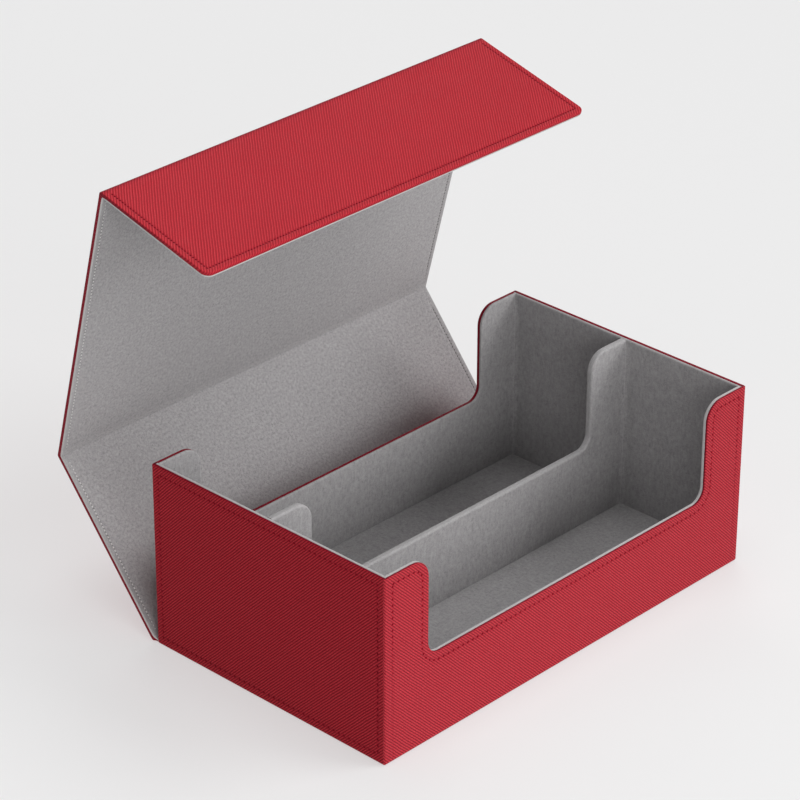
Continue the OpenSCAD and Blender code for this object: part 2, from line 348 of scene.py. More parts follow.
F0 = 0.592
# painted light and shade: the front, end and cover leathers are one leather; the ends get a darker copy of its colours
# as painted shade, the cover a lighter copy with paler grooves as painted light
M_FRONT = leather_material("leather_front", F0, F0, (0.650, 0.040, 0.060), (0.135, 0.003, 0.008), 0.13, 0.10)
M_END_PAINTED_SHADE = leather_material("leather_end_painted_shade", F0, -F0, (0.605, 0.030, 0.049), (0.098, 0.001, 0.003), 0.11, 0.03)
M_COVER_PAINTED_LIGHT = leather_material("leather_cover_painted_light", F0, 0.482, (0.655, 0.036, 0.053), (0.290, 0.006, 0.013), 0.02, 0.10)
GREY = (0.300, 0.290, 0.294)
PALE = (0.56, 0.545, 0.54)
# painted light and shade: the linings are one grey; the top panel and flap get a slightly darker copy, the rear panel
# a lighter copy as painted light, the floor pads a darker copy as painted shade
M_LINING = lining_material("lining", tuple(c * 0.985 for c in GREY), PALE, 1.05, 0.72, 0.15)
M_LINING_REAR_PAINTED_LIGHT = lining_material("lining_rear_painted_light", tuple(c * 1.05 for c in GREY), PALE, 1.05, 0.72, 0.15)
M_TRAY_LINING = lining_material("lining_tray", GREY, PALE, 1.0, 0.66, 0.42)
M_FLOOR_LINING_PAINTED_SHADE = lining_material("lining_floor_painted_shade", tuple(c * 0.97 for c in GREY), PALE, 1.0, 0.66, 0.30)
M_THREAD = thread_material("thread_red", (0.36, 0.014, 0.024), (0.50, 0.026, 0.040))
M_HOLE_COVER_PAINTED_SHADE = hole_material("needle_hole_cover_painted_shade", (0.190, 0.003, 0.011))
# painted shade: the thread on the end walls is a darker copy of the red thread
M_THREAD_END_PAINTED_SHADE = thread_material("thread_red_end_painted_shade", (0.30, 0.008, 0.016), (0.42, 0.016, 0.028))
M_THREAD_PALE = thread_material("thread_pale", (0.62, 0.61, 0.60), (0.84, 0.82, 0.81))
M_THREAD_GREY = thread_material("thread_grey", (0.20, 0.19, 0.19), (0.33, 0.32, 0.32))
M_HOLE_PAINTED_SHADE = hole_material("needle_hole_painted_shade", (0.230, 0.004, 0.013))
M_HOLE_GREY_PAINTED_SHADE = hole_material("needle_hole_grey_painted_shade", (0.115, 0.11, 0.11))
M_HOLE_SOFT_PAINTED_SHADE = hole_material("needle_hole_soft_painted_shade", (0.24, 0.235, 0.235))
M_BOARD = board_material()
M_MAGNET = magnet_material()


# ---------------------------------------------------------------- meshes
def make(name, verts, faces, flat, edge, mats, mat_index=None, sharp=50.0, shade=None):
    """A mesh object from mm points; flat is each point's place on its sheet in mm, edge its turn factor, which is
    painted shade on the leather and paleness on the lining.
    """
    me = bpy.data.meshes.new(name)
    me.from_pydata([tuple(np.asarray(p, float) * MM) for p in verts], [], [tuple(f) for f in faces])
    a = me.attributes.new("flat", "FLOAT_VECTOR", "POINT")
    a.data.foreach_set("vector", np.asarray(flat, np.float32).ravel())
    e = me.attributes.new("edge", "FLOAT", "POINT")
    e.data.foreach_set("value", np.asarray(edge, np.float32).ravel())
    if shade is not None:
        a = me.attributes.new("shade", "FLOAT", "POINT")
        a.data.foreach_set("value", np.asarray(shade, np.float32).ravel())
    for m in mats:
        me.materials.append(m)
    if mat_index is not None:
        me.polygons.foreach_set("material_index", np.asarray(mat_index, np.int32))
    me.validate()
    bm = bmesh.new()
    bm.from_mesh(me)
    bmesh.ops.recalc_face_normals(bm, faces=bm.faces)
    bm.to_mesh(me)
    bm.free()
    me.polygons.foreach_set("use_smooth", [True] * len(me.polygons))
    me.set_sharp_from_angle(angle=math.radians(sharp))
    me.update()
    ob = bpy.data.objects.new(name, me)
    scene.collection.objects.link(ob)
    mod = ob.modifiers.new("even_normals", "WEIGHTED_NORMAL")
    mod.mode = "FACE_AREA"
    mod.weight = 100
    mod.keep_sharp = True
    return ob


def arc(cx, cy, r, a0, a1, n):
    return [(cx + r * math.cos(math.radians(a0 + (a1 - a0) * i / n)),
             cy + r * math.sin(math.radians(a0 + (a1 - a0) * i / n))) for i in range(n + 1)]


def seg_dist(p, path):
    """Distance of points p (n,2) from an open polyline."""
    p = np.asarray(p, float)
    best = np.full(len(p), 1e9)
    path = np.asarray(path, float)
    for a, b in zip(path[:-1], path[1:]):
        d = b - a
        L2 = max(d @ d, 1e-12)
        t = np.clip(((p - a) @ d) / L2, 0, 1)
        q = p - (a + t[:, None] * d)
        best = np.minimum(best, np.hypot(q[:, 0], q[:, 1]))
    return best


def sink(dist, depth=0.12, half=1.2):
    """The soft channel that a pulled stitch row makes."""
    t = np.clip(1 - dist / half, 0, 1)
    return depth * t * t * (3 - 2 * t)


def with_channel_painted_shade(dist, edge, outer, depth=0.26):
    """Painted shade: the leather is painted darker along its stitch rows, where the pulled channel lies in shade."""
    return np.maximum(np.asarray(edge, float), np.where(outer, depth * np.exp(-(dist / 0.75) ** 2), 0.0))


GROOVE_D = (3.1, 3.5, 3.9, 4.2, ROW, 4.7, 5.0, 5.4, 5.8)
FLAP_D = tuple(d - ROW + ROW_FLAP for d in GROOVE_D)


def long_path(d, ends, cols, cut):
    """The top edge of a long wall, d inside it: from -ends to +ends, over the shoulders and round the finger cut."""
    a, zb, r, s, zt = NOTCH + d, cut - d, FOOT + d, SHOULDER - d, TH - d
    left = [(-ends, zt)] + [(-c, zt) for c in cols]
    left += arc(-a - s, zt - s, s, 90, 0, 12)
    side = [(-a, zt - s + (zb + r - zt + s) * i / 6) for i in range(1, 6)]
    left += side
    left += arc(-a + r, zb + r, r, 180, 270, 12)
    left += [(-60, zb), (-20, zb)]
    right = [(-x, z) for x, z in reversed(left)]
    return left + right


def corner_map(u, n):
    """Point and inward normal on the tray's outline at flat length u along a long wall; n mm deep."""
    flat_half = HX - CR
    if abs(u) <= flat_half:
        return u, -HY + n
    a = (abs(u) - flat_half) / CR
    x = flat_half + (CR - n) * math.sin(a)
    y = -HY + CR - (CR - n) * math.cos(a)
    return math.copysign(x, u), y


def wall_point(u, v, n, side):
    x, y = corner_map(u, n)
    return (x, y * side, v)      # side 1: front wall at -Y; -1: rear wall


FH = HX - CR + CR * math.pi / 2        # flat half length of a long wall's leather
LONG_COLS = [FH - (FH - HX + CR) * i / 6 for i in range(1, 7)] + [127.6, 126.2, 125.6, 125.1, 124.8, 124.5, 124.0, 123.4, 122.6]
STITCH_X = 124.8


def long_stitch_path(cut):
    """Centre line of the stitching on a long wall: up one side, over the shoulder, round the cut and down."""
    p = [(x, z) for x, z in long_path(ROW, FH, LONG_COLS, cut) if abs(x) < STITCH_X - 0.1]
    r = 1.2
    z = TH - ROW
    left = [(-STITCH_X, 1.6)] + [(-STITCH_X, z - r)] + arc(-STITCH_X + r, z - r, r, 180, 90, 4)[1:]
    right = [(-x, zz) for x, zz in reversed(left)]
    return left + p + right


def rim_shade(d, dep):
    """How far a point d below the rim and dep deep has turned over the edge, 0 to 1; the leather is painted that much
    darker there as shade.
    """
    return float(np.clip((dep - 0.16) / 0.34, 0, 1)) if d < 0.75 else 0.0


def long_leather(name, side, node, cut, lip):
    spath = long_stitch_path(cut)
    # from the face inwards: channel, plain band, rounded edge, turned lip, hidden back
    R = 0.6
    rings = [(d, 0.0) for d in reversed(GROOVE_D)] + [(2.4, 0.0), (1.6, 0.0)]
    rings += [(R - R * math.sin(math.radians(t)), R - R * math.cos(math.radians(t))) for t in range(0, 91, 15)]
    rings += [(0.0, lip - 0.12), (0.10, lip), (0.5, lip), (0.75, 0.95), (0.9, LT), (2.0, LT)]
    path0 = long_path(rings[0][0], FH, LONG_COLS, cut)
    n = len(path0)
    k = len(LONG_COLS)               # stations 0..k are the end strip's columns
    uvn, edge = [], []
    for d, dep in rings:
        for (x, z) in long_path(d, FH, LONG_COLS, cut):
            uvn.append((x, z, dep))
            edge.append(rim_shade(d, dep))
    faces = []
    J = len(rings)
    for j in range(J - 1):
        for i in range(n - 1):
            faces.append((j * n + i, j * n + i + 1, (j + 1) * n + i + 1, (j + 1) * n + i))
    # face below the innermost ring, and the same behind
    zb = [(0.35, 0.10), (0.9, 0.0)]      # bottom edge turns under a little
    cols = list(range(k + 1)) + list(range(n - 1 - k, n))
    def add(u, z, dep):
        uvn.append((u, z, dep)); edge.append(0.0)
        return len(uvn) - 1
    front_rows, back_row = [], {}
    low = {}
    for i in cols:
        u = path0[i][0]
        low[i] = (add(u, 1.1, 0.0), add(u, 0.5, 0.12), add(u, 0.2, 0.42), add(u, 0.2, LT))
    last = (J - 1) * n
    def quadcols(a, b):
        faces.append((a, b, low[b][0], low[a][0]))
        for q in range(3):
            faces.append((low[a][q], low[b][q], low[b][q + 1], low[a][q + 1]))
        faces.append((low[a][3], low[b][3], last + b, last + a))
    for i in range(k):
        quadcols(i, i + 1)
        quadcols(n - 2 - i, n - 1 - i)
    a, b = k, n - 1 - k
    faces.append([i for i in range(a, b + 1)] + [low[b][0], low[a][0]])
    for q in range(3):
        faces.append((low[a][q], low[b][q], low[b][q + 1], low[a][q + 1]))
    faces.append([last + i for i in range(b, a - 1, -1)] + [low[a][3], low[b][3]])
    for e in (0, n - 1):
        faces.append([j * n + e for j in range(J)] + [low[e][3], low[e][2], low[e][1], low[e][0]])
    uvn = np.array(uvn, float)
    outer = uvn[:, 2] < 0.01
    dist = seg_dist(uvn[:, :2], spath)
    depth = uvn[:, 2] + np.where(outer, sink(dist), 0.0)
    verts = [wall_point(u, v, dd, side) for (u, v, _), dd in zip(uvn, depth)]
    flat = np.column_stack([uvn[:, 0], uvn[:, 1] + uvn[:, 2], uvn[:, 2] * 0])
    ob = make(name, verts, faces, flat, with_channel_painted_shade(dist, edge, outer), [M_FRONT])
    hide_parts(node)
    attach(ob, "tray")
    return spath


def end_leather(name, side, node, lip):
    """An end wall's leather; side -1 is the left end at -X."""
    half = HY - CR
    R = 0.6
    us = [-half, -half + 0.15, -half + 0.6, -74.3, -73.9, -73.4, -73.0, -72.6, -72.1, -71.4, -40, 0]
    us = us + [-u for u in reversed(us[:-1])]
    vs = [0.5, 1.1, 3.2, 3.9, 4.4, 4.8, 5.2, 5.7, 6.4, 50.0]
    vs += [TH - d for d in reversed(GROOVE_D)] + [TH - 2.4, TH - 1.6]
    spath = [(-73.0, 4.8), (-73.0, TH - ROW), (73.0, TH - ROW), (73.0, 4.8), (-73.0, 4.8)]
    rows = [(0.2, LT), (0.2, 0.42)] + [(0.5, 0.12)] + [(v, 0.0) for v in vs[1:]]
    rows += [(TH - R + R * math.sin(math.radians(t)), R - R * math.cos(math.radians(t))) for t in range(0, 91, 15)]
    rows += [(TH, lip - 0.12), (TH - 0.10, lip), (TH - 0.5, lip), (TH - 0.75, 0.95), (TH - 0.9, LT)]
    n = len(us)
    uvn, edge, verts = [], [], []
    for v, dep in rows:
        for i, u in enumerate(us):
            uvn.append((u, v, dep + (0.05 if i in (0, n - 1) and dep < 0.1 else 0.0)))
            edge.append(rim_shade(TH - v, dep))
    uvn = np.array(uvn)
    outer = np.array([r[1] < 0.01 for r in rows]).repeat(n)
    dist = seg_dist(uvn[:, :2], spath)
    depth = uvn[:, 2] + np.where(outer, sink(dist), 0.0)
    for (u, v, _), dd in zip(uvn, depth):
        # u runs along -Y so that it grows towards the front
        verts.append((side * (HX - dd), -u, v))
    faces = []
    m = len(rows)
    for j in range(m - 1):
        for i in range(n - 1):
            faces.append((j * n + i, j * n + i + 1, (j + 1) * n + i + 1, (j + 1) * n + i))
    for i in range(n - 1):
        faces.append(((m - 1) * n + i, (m - 1) * n + i + 1, i + 1, i))
    for e in (0, n - 1):
        faces.append([j * n + e for j in range(m)])
    flat = np.column_stack([uvn[:, 0], uvn[:, 1], uvn[:, 2] * 0])
    ob = make(name, verts, faces, flat, with_channel_painted_shade(dist, edge, outer), [M_END_PAINTED_SHADE])
    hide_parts(node)
    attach(ob, "tray")
    return spath


# ------------------------------------------------ linings of the tray
SOFT_T = (0.0, 0.3, 0.6, 0.88, 1.2, 1.7, 2.3, 3.0, 3.6)


def soft_corner(t, r):
    """How far a lining stands off its wall t mm from an inner corner that it bridges with radius r."""
    if t < 0 or t >= r:
        return 0.0
    if t < 0.293 * r:
        return max(0.293 * r - 0.10, 0.0)
    return r - math.sqrt(r * r - (r - t) ** 2)


def corner_reach(d):
    """The bridging radius d mm below the rim: tight at the rim, soft lower down."""
    return 0.7 + 2.5 * float(np.clip((d - 1.8) / 7.0, 0, 1))


def lined_sheet(rings, ends, cols, cut, zlow, dlow):
    """Rings of a wall's sheet, from its open face over the rim and down its back, closed along the floor.
    Returns (u, z, depth, ring's distance below the rim) rows and faces."""
    path0 = long_path(rings[0][0], ends, cols, cut)
    n, k, J = len(path0), len(cols), len(rings)
    uvn, faces = [], []
    for d, dep in rings:
        for (x, z) in long_path(d, ends, cols, cut):
            uvn.append((x, z, dep, d))
    for j in range(J - 1):
        for i in range(n - 1):
            faces.append((j * n + i, j * n + i + 1, (j + 1) * n + i + 1, (j + 1) * n + i))
    last = (J - 1) * n
    low = {}
    for i in list(range(k + 1)) + list(range(n - 1 - k, n)):
        uvn.append((path0[i][0], zlow, dlow[0], 90.0))
        uvn.append((path0[i][0], zlow, dlow[1], 90.0))
        low[i] = (len(uvn) - 2, len(uvn) - 1)

    def strip(a, b):
        faces.append((a, b, low[b][0], low[a][0]))
        faces.append((low[a][0], low[b][0], low[b][1], low[a][1]))
        faces.append((low[a][1], low[b][1], last + b, last + a))

    for i in range(k):
        strip(i, i + 1)
        strip(n - 2 - i, n - 1 - i)
    a, b = k, n - 1 - k
    faces.append([i for i in range(a, b + 1)] + [low[b][0], low[a][0]])
    faces.append((low[a][0], low[b][0], low[b][1], low[a][1]))
    faces.append([last + i for i in range(b, a - 1, -1)] + [low[a][1], low[b][1]])
    for e in (0, n - 1):
        faces.append([j * n + e for j in range(J)] + [low[e][1], low[e][0]])
    return np.array(uvn), faces


def long_lining(name, side, node, cut, lip, pale):
    IX, FX = HX - LT - 2.0, HX - WALL
    R = 0.8
    cols = [FX - t for t in SOFT_T] + [118.0]
    rings = [(8.8, WALL), (4.5, WALL), (1.8, WALL)]
    rings += [(R - R * math.sin(math.radians(t)), WALL - R + R * math.cos(math.radians(t))) for t in range(0, 91, 15)]
    rings += [(0.0, min(lip + 0.45, WALL - R - 0.02)), (0.06, lip + 0.2), (0.22, lip + 0.07), (0.55, lip + 0.03), (0.6, 1.9), (0.62, WALL - LT), (2.0, WALL - LT)]
    uvn, faces = lined_sheet(rings, IX, cols, cut, FLOOR_Z - 0.3, (WALL, WALL - LT))
    verts, edge = [], []
    for u, z, dep, d in uvn:
        e = pale * float(np.clip(1.25 - d / 0.75, 0, 1)) if d < 1.0 else 0.0
        if dep > WALL - 0.01 and d > 1.0:
            t = FX - abs(u)
            dep += soft_corner(t, corner_reach(d))
            if 0.5 < t < 1.0:
                e = 0.16
        verts.append((u, (-HY + dep) * side, z))
        edge.append(e)
    flat = np.column_stack([uvn[:, 0], uvn[:, 1] - (WALL - uvn[:, 2]), np.full(len(uvn), 40.0 * side)])
    ob = make(name, verts, faces, flat, edge, [M_TRAY_LINING])
    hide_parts(node)
    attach(ob, "tray")


def end_lining(name, side, node, lip, pale):
    half = HY - LT - 0.02
    inner = HY - WALL
    R = 0.8
    us = [-half, -inner - 0.02] + [-inner + t for t in SOFT_T[1:]] + [-40]
    us += [-DIV / 2 - t for t in reversed(SOFT_T)] + [-DIV / 2 + 0.5]
    us = us + [-u for u in reversed(us)]
    rows = [(FLOOR_Z - 0.3, WALL - LT), (FLOOR_Z - 0.3, WALL), (FLOOR_Z + 10, WALL), (60, WALL), (TH - 8.8, WALL), (TH - 4.5, WALL), (TH - 1.8, WALL)]
    rows += [(TH - R + R * math.sin(math.radians(t)), WALL - R + R * math.cos(math.radians(t))) for t in range(0, 91, 15)]
    rows += [(TH, min(lip + 0.45, WALL - R - 0.02)), (TH - 0.06, lip + 0.2), (TH - 0.22, lip + 0.07), (TH - 0.55, lip + 0.03), (TH - 0.6, 1.9), (TH - 0.62, WALL - LT)]
    n, m = len(us), len(rows)
    uvn, edge = [], []
    for v, dep in rows:
        for i, u in enumerate(us):
            uu, e = u, pale * float(np.clip(1.25 - (TH - v) / 0.75, 0, 1)) if v > TH - 1.0 else 0.0
            if v < TH - 0.7 and i in (0, n - 1):     # below the cap the sheet stops at the long linings
                uu = math.copysign(inner - 0.01, u)
            elif v < TH - 0.7 and i in (1, n - 2):
                uu = math.copysign(inner - 0.1, u)
            dd = dep
            if dep > WALL - 0.01 and v < TH - 1.0:
                r = corner_reach(TH - v)
                tc, td = inner - abs(uu), abs(uu) - DIV / 2
                dd += max(soft_corner(tc, r), soft_corner(td, r))
                if 0.5 < tc < 1.0 or 0.5 < td < 1.0:
                    e = 0.16
            uvn.append((uu, v, dd))
            edge.append(e)
    uvn = np.array(uvn)
    verts = [(side * (HX - dd), -u, v) for (u, v, dd) in uvn]
    faces = []
    for j in range(m - 1):
        for i in range(n - 1):
            faces.append((j * n + i, j * n + i + 1, (j + 1) * n + i + 1, (j + 1) * n + i))
    for i in range(n - 1):
        faces.append(((m - 1) * n + i, (m - 1) * n + i + 1, i + 1, i))
    for e in (0, n - 1):
        faces.append([j * n + e for j in range(m)])
    flat = np.column_stack([uvn[:, 0], uvn[:, 1] - (WALL - uvn[:, 2]), np.full(len(uvn), 90.0 * side)])
    ob = make(name, verts, faces, flat, edge, [M_TRAY_LINING])
    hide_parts(node)
    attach(ob, "tray")


def divider_lining():
    FX = HX - WALL
    R = 1.2
    cols = [FX - t for t in SOFT_T[1:]] + [118.0]
    rings = [(8.8, 0.0), (4.5, 0.0), (2.4, 0.0)]
    rings += [(R - R * math.sin(math.radians(t)), R - R * math.cos(math.radians(t))) for t in range(0, 91, 15)]
    rings += [(d, DIV - dep) for d, dep in reversed(rings)]
    uvn, faces = lined_sheet(rings, FX, cols, CUT_INNER, FLOOR_Z - 0.3, (0.0, DIV))
    verts, edge = [], []
    for u, z, dep, d in uvn:
        # the sleeve is brighter where it turns over, least along its middle
        e = 0.16 * float(np.clip(1.2 - d / 1.1, 0, 1)) * (1 - 0.8 * math.exp(-((dep - DIV / 2) / 0.8) ** 2)) if d < 1.4 else 0.0
        if d > 1.5:
            t = FX - abs(u)
            o = soft_corner(t, corner_reach(d))
            dep += -o if dep < DIV / 2 else o
            if 0.5 < t < 1.0:
                e = 0.16
        verts.append((u * (FX - 0.05) / FX, -DIV / 2 + dep, z))
        edge.append(e)
    flat = np.column_stack([uvn[:, 0], uvn[:, 1] - uvn[:, 2], uvn[:, 2] * 3 + 10])
    ob = make("divider_lining_sleeve", verts, faces, flat, edge, [M_TRAY_LINING])
    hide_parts("divider_lining")
    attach(ob, "tray")


def floor_pads():
    """One soft pad lies in each row, its edges rolled down so that a fine seam shows round it."""
    verts, faces, flat, edge = [], [], [], []
    FX, FY = HX - WALL, HY - WALL
    for y0, y1 in ((-FY, -DIV / 2), (DIV / 2, FY)):
        x0, x1 = -FX + 0.05, FX - 0.05
        a0, a1 = y0 + 0.05, y1 - 0.05
        base = len(verts)
        lev = [(0.0, -0.5), (0.0, -0.35), (0.12, -0.12), (0.4, -0.02), (1.0, 0.0)]
        for d, h in lev:
            for x, y in ((x0 + d, a0 + d), (x1 - d, a0 + d), (x1 - d, a1 - d), (x0 + d, a1 - d)):
                verts.append((x, y, FLOOR_Z + h))
                flat.append((x, y, 20 + y0))
                edge.append(0.0)
        for j in range(len(lev) - 1):
            for i in range(4):
                faces.append((base + j * 4 + i, base + j * 4 + (i + 1) % 4, base + (j + 1) * 4 + (i + 1) % 4, base + (j + 1) * 4 + i))
        t = base + (len(lev) - 1) * 4
        faces.append((t, t + 1, t + 2, t + 3))
        faces.append((base, base + 3, base + 2, base + 1))
    ob = make("floor_lining_pads", verts, faces, flat, edge, [M_FLOOR_LINING_PAINTED_SHADE])
    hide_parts("floor_lining")
    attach(ob, "tray")


# ------------------------------------------------ cover: paths through its three folds
def line(P, d, t, off):
    return P + t * d + off * inward(d)


def fold(P, d1, d2, L1, w, start_inner=None, n_arc=8):
    """Stations across one fold: outer points on the roll, inner points on a soft fillet. t runs on both panels w from the axis."""
    a1 = math.atan2(*(-inward(d1))[::-1])
    a2 = math.atan2(*(-inward(d2))[::-1])
    while a2 < a1:
        a2 += 2 * math.pi
    outer = [line(P, d1, -w, -H2), line(P, d1, -w * 0.66, -H2), line(P, d1, -w * 0.33, -H2)]
    for i in range(n_arc + 1):
        a = a1 + (a2 - a1) * i / n_arc
        outer.append(P + H2 * np.array([math.cos(a), math.sin(a)]))
    outer += [line(P, d2, w * 0.33, -H2), line(P, d2, w * 0.66, -H2), line(P, d2, w, -H2)]
    ia = line(P, d1, -w, H2)
    ib = line(P, d2, w, H2)
    # where the two inner faces would meet
    n1, n2 = inward(d1), inward(d2)
    V = P + H2 * np.linalg.solve(np.array([n1, n2]), np.array([1.0, 1.0]))
    if start_inner is not None:
        ia, V = start_inner
    N = len(outer)
    if start_inner is not None:
        qs = [i / (N - 1) for i in range(N)]
        return outer, [(1 - q) ** 2 * ia + 2 * q * (1 - q) * V + q * q * ib for q in qs]
    # a pressed crease: straight up to a tight fillet
    ja, jb = V - 0.7 * d1, V + 0.7 * d2
    inner = [ia + (ja - ia) * i / 3 for i in range(3)]
    for i in range(n_arc + 1):
        q = i / n_arc
        inner.append((1 - q) ** 2 * ja + 2 * q * (1 - q) * V + q * q * jb)
    inner += [jb + (ib - jb) * i / 3 for i in range(1, 4)]
    return outer, inner


W0, W1, W2 = 3.0, 4.0, 3.2
out0, in0 = fold(P0, D0, DA, 0, W0, start_inner=(np.array([HY + 0.12, 0.95]), np.array([HY + 0.45, 1.75])))
out0[0] = np.array([HY - 0.3, 0.0]); out0[1] = np.array([HY + 0.5, 0.0]); out0[2] = np.array([HY + 1.1, 0.0])
out1, in1 = fold(P1, DA, DB, LA, W1)
out2, in2 = fold(P2, DB, DC, LB, W2)


def straight(P, d, t0, t1, n):
    ts = [t0 + (t1 - t0) * i / n for i in range(n + 1)]
    return [line(P, d, t, -H2) for t in ts], [line(P, d, t, H2) for t in ts]


def cum(points, start):
    s = [start]
    for a, b in zip(points[:-1], points[1:]):
        s.append(s[-1] + float(np.linalg.norm(b - a)))
    return s


A_o, A_i = straight(P0, DA, W0, LA - W1, 10)
B_o, B_i = straight(P1, DB, W1, LB - W2, 14)
rear_o, rear_i = A_o + out1[1:], A_i + in1[1:]
top_o, top_i = B_o + out2[1:], B_i + in2[1:]
s0 = cum(out0, -W0)
s_rear = cum(rear_o, s0[-1])
s_top = cum(top_o, s_rear[-1])
SC = s_top[-1]                       # sheet length where the flap's own piece starts
XCOLS = [CX - d for d in (4.3, 3.8, 3.4, ROW_COVER, 2.5, 2.1, 1.6)]


def sweep(name, O, I, S, section, mats, halves=None, fold_painted_shade=None, width=CX, smooth=60):
    """Runs a closed section along paired outer and inner paths. section(T) gives (x, n, turn) round the loop."""
    verts, flat, edge, faces, shade = [], [], [], [], []
    for k, (o, i_, s) in enumerate(zip(O, I, S)):
        T = float(np.linalg.norm(i_ - o))
        N = (i_ - o) / T
        loop = section(T, s)
        short = CX - halves[k] if halves else 0.0
        for x, n, turn in loop:
            if abs(x) > 100:
                x = math.copysign(abs(x) - short, x)
            p = o + N * n
            verts.append((x, p[0], p[1]))
            flat.append((x + math.copysign(min(n, 2.0) if abs(x) > width - 1 else 0.0, x), s, 0.0))
            edge.append(turn)
            shade.append(fold_painted_shade(s) if fold_painted_shade else 0.0)
    m, k = len(O), len(loop)
    for j in range(m - 1):
        for i in range(k):
            a, b = j * k + i, j * k + (i + 1) % k
            faces.append((a, b, b + k, a + k))
    faces.append(list(range(k)))
    faces.append([(m - 1) * k + i for i in range(k)][::-1])
    # painted shade: on the cover leather the fold shade is added to its painted edge shade
    if fold_painted_shade and mats[0] in (M_COVER_PAINTED_LIGHT,):
        edge = np.maximum(edge, shade)
    return make(name, verts, faces, flat, edge, mats, sharp=smooth, shade=shade)


def leather_section(channel):
    """channel(s): how deep the stitch channel is there, 0 to 1."""
    def section(T, s):
        r = min(0.45, 0.3 * T)
        fe = max(r + 0.03, T - 1.02)
        c = channel(s)
        half = []
        for x in (0.0, 60.0, 110.0):
            half.append((x, 0.0, 0.0))
        for x in XCOLS:
            # painted shade: the turn value darkens the leather along the stitch channel
            half.append((x, c * float(sink(np.array([abs(CX - x - ROW_COVER)]))[0]), c * 0.26 * math.exp(-((CX - x - ROW_COVER) / 0.75) ** 2)))
        half.append((CX - 1.1, 0.0, 0.0))
        for t in range(0, 91, 15):
            q = math.radians(t)
            # painted shade: the rounded edge and the turned side are painted darker
            half.append((CX - r + r * math.sin(q), r - r * math.cos(q), float(np.clip((t - 30) / 40, 0, 1))))
        half += [(CX, fe, 1.0), (CX - 0.12, fe + 0.12, 1.0), (CX - 0.5, fe + 0.13, 1.0)]
        half += [(CX - 0.62, min(0.9, fe), 0.0), (CX - 0.9, min(LT, fe), 0.0), (60.0, LT if T > 1.3 else 0.42, 0.0)]
        return half + [(-x, n, t) for x, n, t in reversed(half[1:])]
    return section


def lining_section(channel):
    def section(T, s):
        r = min(0.55, 0.3 * T)
        X = CX - 0.12
        c = channel(s)
        half = [(0.0, T, 0.0), (60.0, T, 0.0), (110.0, T, 0.0)]
        for x in XCOLS:
            half.append((x, T - c * float(sink(np.array([abs(CX - x - ROW_COVER)]), 0.22, 1.2)[0]), 0.0))
        half.append((CX - 1.2, T, 0.1))
        for t in range(0, 91, 18):
            q = math.radians(t)
            half.append((X - r + r * math.sin(q), T - r + r * math.cos(q), 0.9 * (t / 90) ** 0.5))
        half += [(X, T - 0.82, 0.9), (X - 0.4, T - 0.86, 0.5), (X - 0.9, T - LT, 0.0), (60.0, T - LT if T > 1.3 else T - 0.4, 0.0)]
        return half + [(-x, n, t) for x, n, t in reversed(half[1:])]
    return section


def window(a, b, soft=1.5):
    def f(s):
        return float(np.clip((s - a) / soft, 0, 1) * np.clip((b - s) / soft, 0, 1))
    return f


def weave_pair(base, O, I, S, chan, bodies, blend_at, nodes_leather, nodes_lining, lining, halves=None, fold_painted_shade=(None, None)):
    """Leather and lining of one stretch of the cover, each a piece of its own."""
    a = sweep(base + "_leather_skin", O, I, S, leather_section(chan), [M_COVER_PAINTED_LIGHT], halves, fold_painted_shade[0])
    b = sweep(base + "_lining_skin", O, I, S, lining_section(chan), [lining], halves, fold_painted_shade[1])
    for ob, nodes, slot in ((a, nodes_leather, "red_leather"), (b, nodes_lining, "grey_suede")):
        if nodes:
            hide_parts(*nodes)
        if len(bodies) == 2:
            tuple(blend_at[0])
            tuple(blend_at[1])
            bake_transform(ob)
        else:
            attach(ob, bodies[0])


def blend_points(P, d1, d2, reach):
    e = d1 + d2
    e = e / np.linalg.norm(e)
    a, b = P - reach * e, P + reach * e
    return (0, a[0] * MM, a[1] * MM), (0, b[0] * MM, b[1] * MM)


def flap_path(d, w):
    """The flap's three free edges, d inside them, from the fold on the left round to the fold on the right."""
    r = max(4.4 - d, 0.12)
    x, y = CX - d, LC - d
    left = [(-x, w), (-x, w + 0.4), (-x, w + 6.0), (-x, 30.0), (-x, y - r)] + arc(-x + r, y - r, r, 180, 90, 8)[1:]
    left += [(-60.0, y)]
    return left + [(-a, b) for a, b in reversed(left)]


